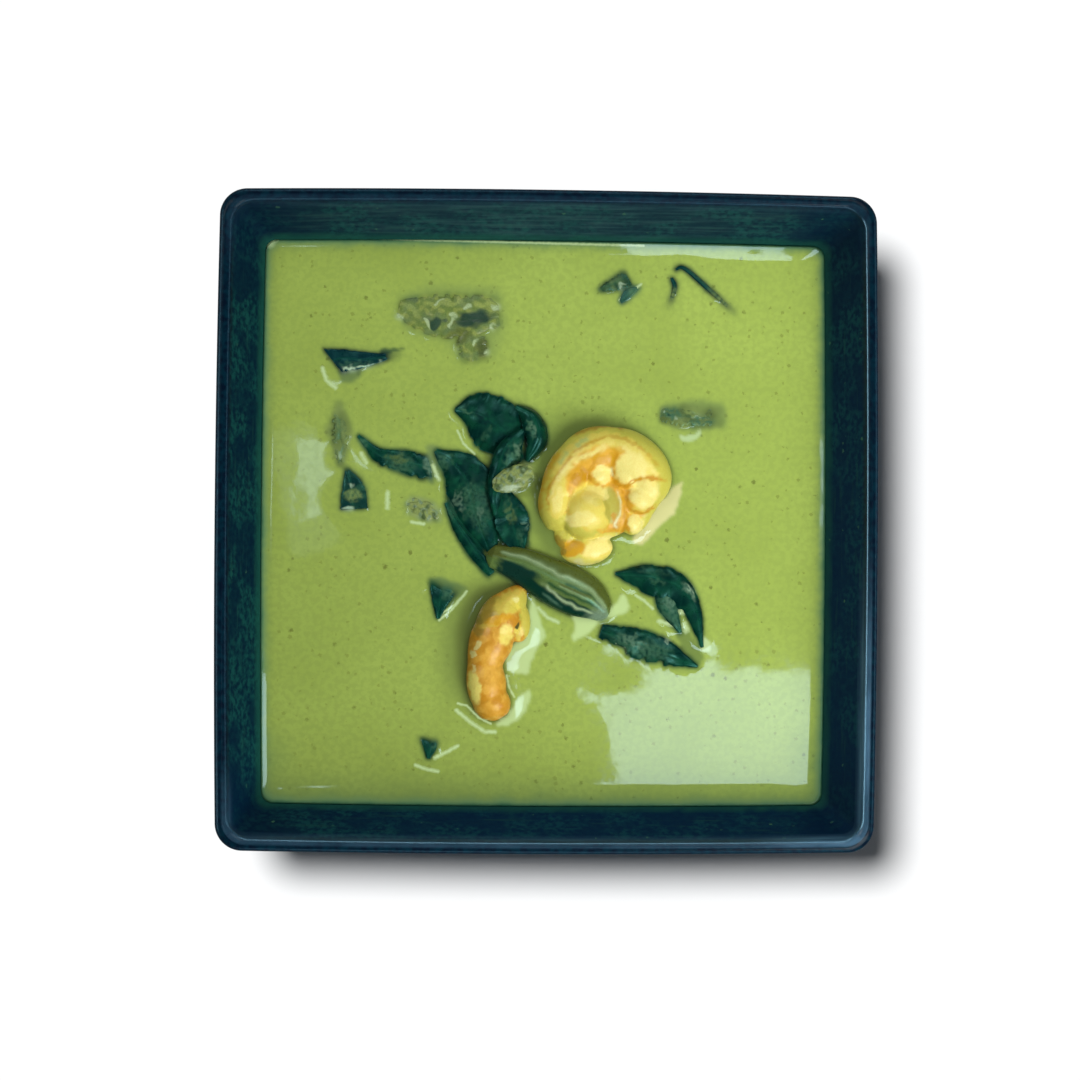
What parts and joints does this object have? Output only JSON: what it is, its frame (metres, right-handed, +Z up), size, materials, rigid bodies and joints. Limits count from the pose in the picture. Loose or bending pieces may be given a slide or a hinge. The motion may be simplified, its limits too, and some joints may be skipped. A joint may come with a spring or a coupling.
{
  "type": "thai green curry in a square bowl",
  "caption": "Thai green curry with prawns and basil leaves in a square, flared dark glazed bowl that stands on a flat foot ring.",
  "frame": {"origin": "on the table, under the middle of the bowl", "axes": "+Z up; X and Y along the bowl's sides, +Y away from a person who has the small prawn nearest"},
  "size_m": [0.17, 0.17, 0.05],
  "materials": {
    "glaze": "dark blue-green glazed stoneware, glossy lip and mottled satin inside wall",
    "curry": "opaque pale green coconut curry with a wet gloss and fine flecks",
    "prawn": "cooked prawn flesh, pale yellow lumps and orange valleys, wet",
    "leaf": "wet dark green cooked basil leaf",
    "aubergine": "soft cooked olive green vegetable flesh, wet"
  },
  "bodies": {
    "root": {"bowl": "glaze", "curry": "curry", "prawn_large": "prawn", "prawn_small": "prawn", "leaf_ridged": "leaf", "aubergine_bit": "aubergine", "aubergine_bit_left": "aubergine", "leaf_fold": "leaf", "leaf_top_right": "leaf", "leaf_curl": "leaf", "leaf_top": "leaf", "leaf_centre": "leaf", "leaf_tail": "leaf", "leaf_wing": "leaf", "leaf_right": "leaf", "leaf_torn": "leaf", "aubergine_top": "aubergine", "leaf_tip_upper": "leaf", "leaf_tip_low": "leaf", "leaf_tip_small": "leaf", "leaf_triangle": "leaf", "shred_long": "leaf", "shred_short": "leaf", "leaf_strip_right": "leaf", "leaf_bit_top": "leaf", "leaf_stub_left": "leaf"}
  },
  "joints": []
}
